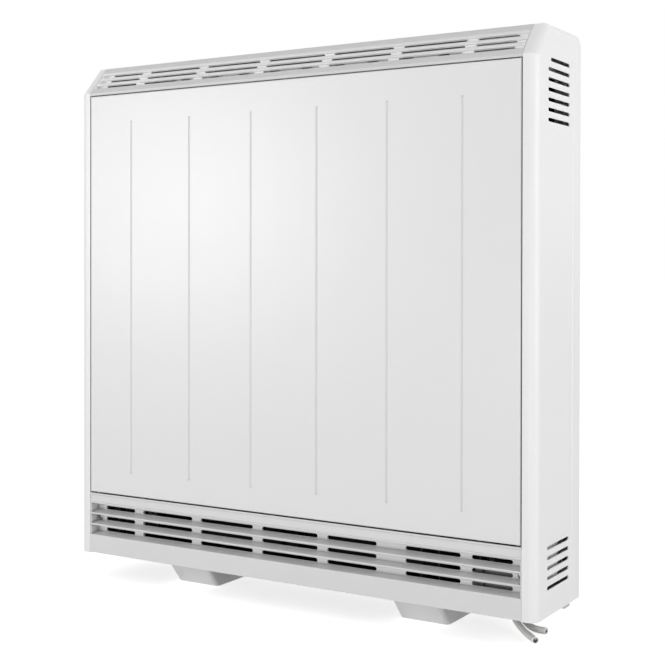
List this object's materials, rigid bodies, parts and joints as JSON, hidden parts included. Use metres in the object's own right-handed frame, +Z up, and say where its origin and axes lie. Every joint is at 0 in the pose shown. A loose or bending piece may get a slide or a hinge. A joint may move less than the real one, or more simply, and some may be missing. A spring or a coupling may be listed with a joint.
{
  "type": "storage heater",
  "caption": "Slim floor-standing electric storage heater: brick core in insulation, louvred air grilles, control flap over two dials, air damper, feet and cable tails.",
  "frame": {"origin": "centre of the casing footprint, on the floor under the feet", "axes": "+X to the right along the front, -Y towards the room (front), +Y towards the wall, +Z up"},
  "size_m": [0.6866, 0.137, 0.7194],
  "materials": {
    "white_enamel": "satin",
    "grey_plastic": "satin",
    "grey_enamel": "satin",
    "galvanised_steel": "satin",
    "bright_steel": "satin",
    "insulation_board": "matte",
    "storage_brick": "matte",
    "moulded_cam": "matte",
    "terminal_plastic": "satin",
    "copper_alloy": "satin",
    "wire_brown": "satin",
    "wire_blue": "satin",
    "wire_pale": "satin",
    "cable_sheath": "satin"
  },
  "bodies": {
    "casing": {"base_plate": "galvanised_steel", "back_panel": "galvanised_steel", "left_side_panel": "white_enamel", "right_side_panel": "white_enamel", "front_panel": "white_enamel", "lower_grille": "grey_plastic", "top_grille": "grey_plastic", "top_cover": "white_enamel", "left_post": "galvanised_steel", "right_post": "galvanised_steel", "left_foot": "grey_enamel", "right_foot": "grey_enamel", "foot_screws": "bright_steel", "grille_screws": "bright_steel", "back_screws": "bright_steel", "wall_spacers": "grey_plastic", "panel_clips": "galvanised_steel", "inner_front_plate": "galvanised_steel", "core_shelf": "galvanised_steel", "base_insulation": "insulation_board", "front_insulation": "insulation_board", "back_insulation": "insulation_board", "left_insulation": "insulation_board", "right_insulation": "insulation_board", "top_insulation": "insulation_board", "core_top_plate": "galvanised_steel", "lower_bricks": "storage_brick", "middle_bricks": "storage_brick", "upper_bricks": "storage_brick", "lower_element": "bright_steel", "middle_element": "bright_steel", "upper_element": "bright_steel", "compartment_wall": "galvanised_steel", "control_housing": "grey_plastic", "control_screws": "bright_steel", "spindle_bracket": "galvanised_steel", "flap_pins": "bright_steel", "damper_bearings": "galvanised_steel", "charge_thermostat": "grey_plastic", "capillary_bulb": "copper_alloy", "thermal_cutout": "moulded_cam", "terminal_tray": "galvanised_steel", "terminal_block": "terminal_plastic", "junction_box": "grey_plastic", "earth_stud": "copper_alloy", "live_wire": "wire_brown", "neutral_wire": "wire_blue", "earth_wire": "wire_pale", "cable_outlet": "grey_plastic", "supply_cable": "cable_sheath", "control_cable": "cable_sheath"},
    "flap": {"control_flap": "grey_plastic"},
    "input_dial": {"input_knob": "white_enamel", "input_spindle": "bright_steel"},
    "output_dial": {"output_knob": "white_enamel", "output_spindle": "bright_steel", "output_cam": "moulded_cam"},
    "damper": {"damper_flap": "galvanised_steel", "damper_shaft": "bright_steel", "damper_arm": "galvanised_steel"}
  },
  "joints": [
    {"name": "flap_hinge", "type": "hinge", "parent": "casing", "child": "flap", "pos_m": [0.273, 0.0435, 0.7162], "axis": [-1, 0, 0], "range_deg": [0, 100]},
    {"name": "input_turn", "type": "hinge", "parent": "casing", "child": "input_dial", "pos_m": [0.2513, 0.0155, 0.696], "axis": [0, 0, -1], "range_deg": [0, 270]},
    {"name": "output_turn", "type": "hinge", "parent": "casing", "child": "output_dial", "pos_m": [0.2947, 0.0155, 0.696], "axis": [0, 0, -1], "range_deg": [0, 270]},
    {"name": "damper_tilt", "type": "hinge", "parent": "casing", "child": "damper", "pos_m": [0, 0.0015, 0.6456], "axis": [1, 0, 0], "range_deg": [0, 30]}
  ],
  "couplings": [
    {"joint": "damper_tilt", "follows": "output_turn", "ratio": 0.11111}
  ]
}
